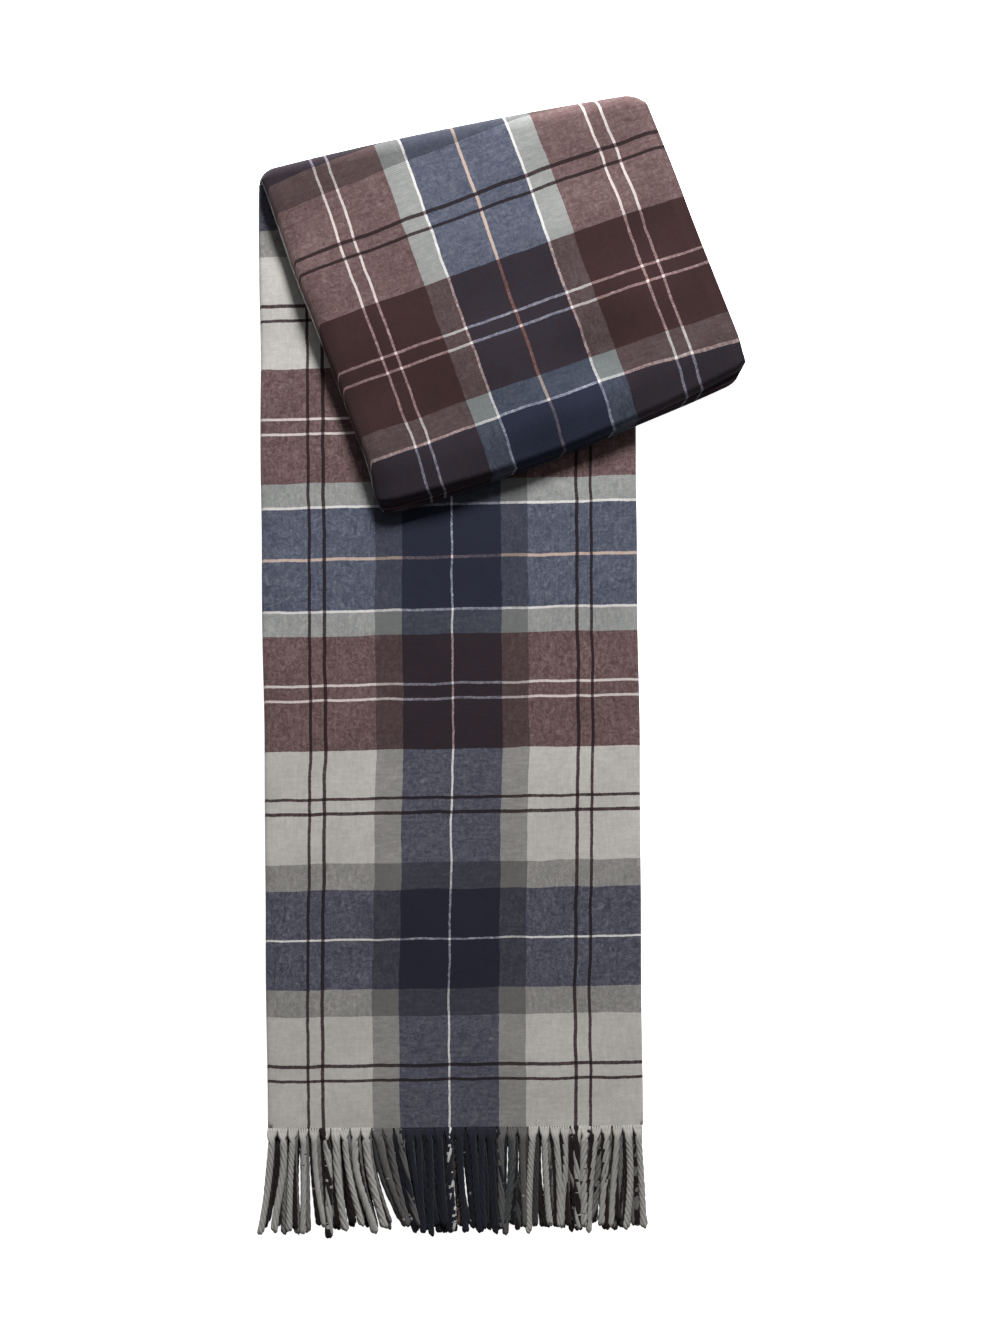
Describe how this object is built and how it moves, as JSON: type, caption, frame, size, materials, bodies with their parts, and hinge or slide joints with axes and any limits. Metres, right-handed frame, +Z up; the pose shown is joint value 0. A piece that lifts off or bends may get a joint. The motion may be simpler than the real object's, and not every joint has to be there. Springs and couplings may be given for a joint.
{
  "type": "folded throw blanket",
  "caption": "Fringed tartan wool throw folded lengthwise into a strip, its head end turned down over the front on a slanted fold and tucked under.",
  "frame": {"origin": "middle of the bounding box at the underside, on the table", "axes": "+X to the right and +Y towards the turned-down end as the throw is seen from above, +Z up off the table"},
  "size_m": [0.4834, 1.1362, 0.0273],
  "materials": {
    "tartan_wool": "matte",
    "grey_fringe": "matte",
    "navy_fringe": "matte",
    "mixed_fringe": "matte"
  },
  "bodies": {
    "strip": {"strip_ply_1": "tartan_wool", "strip_ply_2": "tartan_wool", "strip_ply_3": "tartan_wool", "strip_ply_4": "tartan_wool", "strip_left_fold_outer": "tartan_wool", "strip_left_fold_inner": "tartan_wool", "strip_right_fold": "tartan_wool", "head_bend_1": "tartan_wool", "head_bend_2": "tartan_wool", "head_bend_3": "tartan_wool", "head_bend_4": "tartan_wool"},
    "flap": {"flap_ply_1": "tartan_wool", "flap_ply_2": "tartan_wool", "flap_ply_3": "tartan_wool", "flap_ply_4": "tartan_wool", "flap_left_fold_outer": "tartan_wool", "flap_left_fold_inner": "tartan_wool", "flap_right_fold": "tartan_wool", "tuck_bend_1": "tartan_wool", "tuck_bend_2": "tartan_wool", "tuck_bend_3": "tartan_wool", "tuck_bend_4": "tartan_wool", "tuck_ply_1": "tartan_wool", "tuck_ply_2": "tartan_wool", "tuck_ply_3": "tartan_wool", "tuck_ply_4": "tartan_wool", "tuck_left_fold_outer": "tartan_wool", "tuck_left_fold_inner": "tartan_wool", "tuck_right_fold": "tartan_wool", "tucked_fringe_1": "mixed_fringe", "tucked_fringe_2": "mixed_fringe", "tucked_fringe_3": "mixed_fringe", "tucked_fringe_4": "mixed_fringe"},
    "fringe": {"lower_fringe_1": "mixed_fringe", "lower_fringe_2": "mixed_fringe", "lower_fringe_3": "mixed_fringe", "tassels_1": "grey_fringe", "tassels_2": "grey_fringe", "tassels_3": "grey_fringe", "tassels_4": "grey_fringe", "tassels_5": "grey_fringe", "tassels_6": "grey_fringe", "tassels_7": "grey_fringe", "tassels_8": "navy_fringe", "tassels_9": "navy_fringe", "tassels_10": "navy_fringe", "tassels_11": "navy_fringe", "tassels_12": "grey_fringe", "tassels_13": "grey_fringe", "tassels_14": "grey_fringe", "tassels_15": "grey_fringe", "tassels_16": "grey_fringe", "tassels_17": "grey_fringe", "tassels_18": "grey_fringe"}
  },
  "joints": [
    {"name": "flap_unfold", "type": "hinge", "parent": "strip", "child": "flap", "pos_m": [-0.04883, 0.51892, 0.01365], "axis": [-0.9818, -0.19, 0], "range_deg": [0, 180], "deforming": ["head_bend_1", "head_bend_2", "head_bend_3", "head_bend_4"]},
    {"name": "fringe_lift", "type": "hinge", "parent": "strip", "child": "fringe", "pos_m": [-0.04465, -0.46004, 0.00905], "axis": [-1, -0.0096, 0], "range_deg": [0, 90]}
  ]
}
